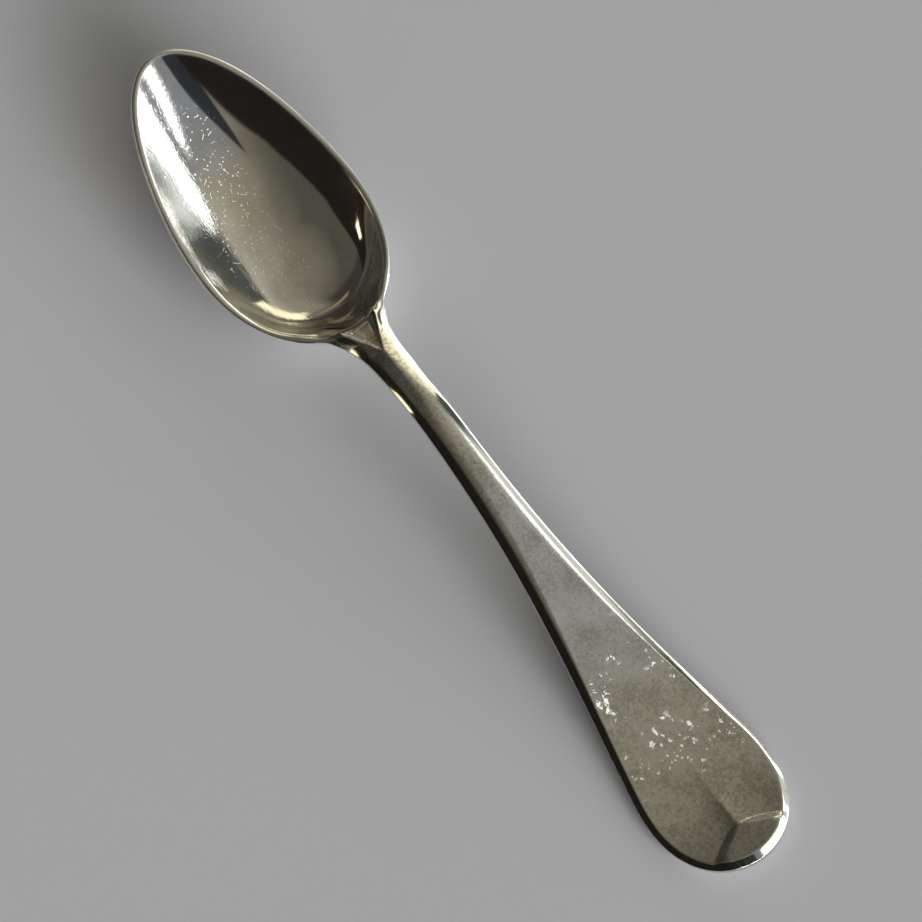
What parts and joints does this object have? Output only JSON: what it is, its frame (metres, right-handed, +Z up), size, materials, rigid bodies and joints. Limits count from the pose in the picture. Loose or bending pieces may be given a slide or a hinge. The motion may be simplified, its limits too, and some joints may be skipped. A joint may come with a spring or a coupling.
{
  "type": "demitasse spoon",
  "caption": "Small silver coffee spoon with an egg-shaped bowl, a slender arched neck and a flat flared handle whose rounded, ribbed end turns up.",
  "frame": {"origin": "on the table that the spoon lies on, under the middle of its length and width", "axes": "+X along the spoon from the tip of the bowl to the end of the handle, +Z up out of the open bowl, +Y to the right as seen from beyond the handle's end"},
  "size_m": [0.1095, 0.0212, 0.011],
  "materials": {
    "bowl_silver": "mirror-polished silver, finely scratched",
    "stem_silver": "silver worn to a satin",
    "solder": "hard silver solder, filed flush"
  },
  "bodies": {
    "root": {"bowl": "bowl_silver", "stem": "stem_silver", "solder_seam": "solder"}
  },
  "joints": []
}
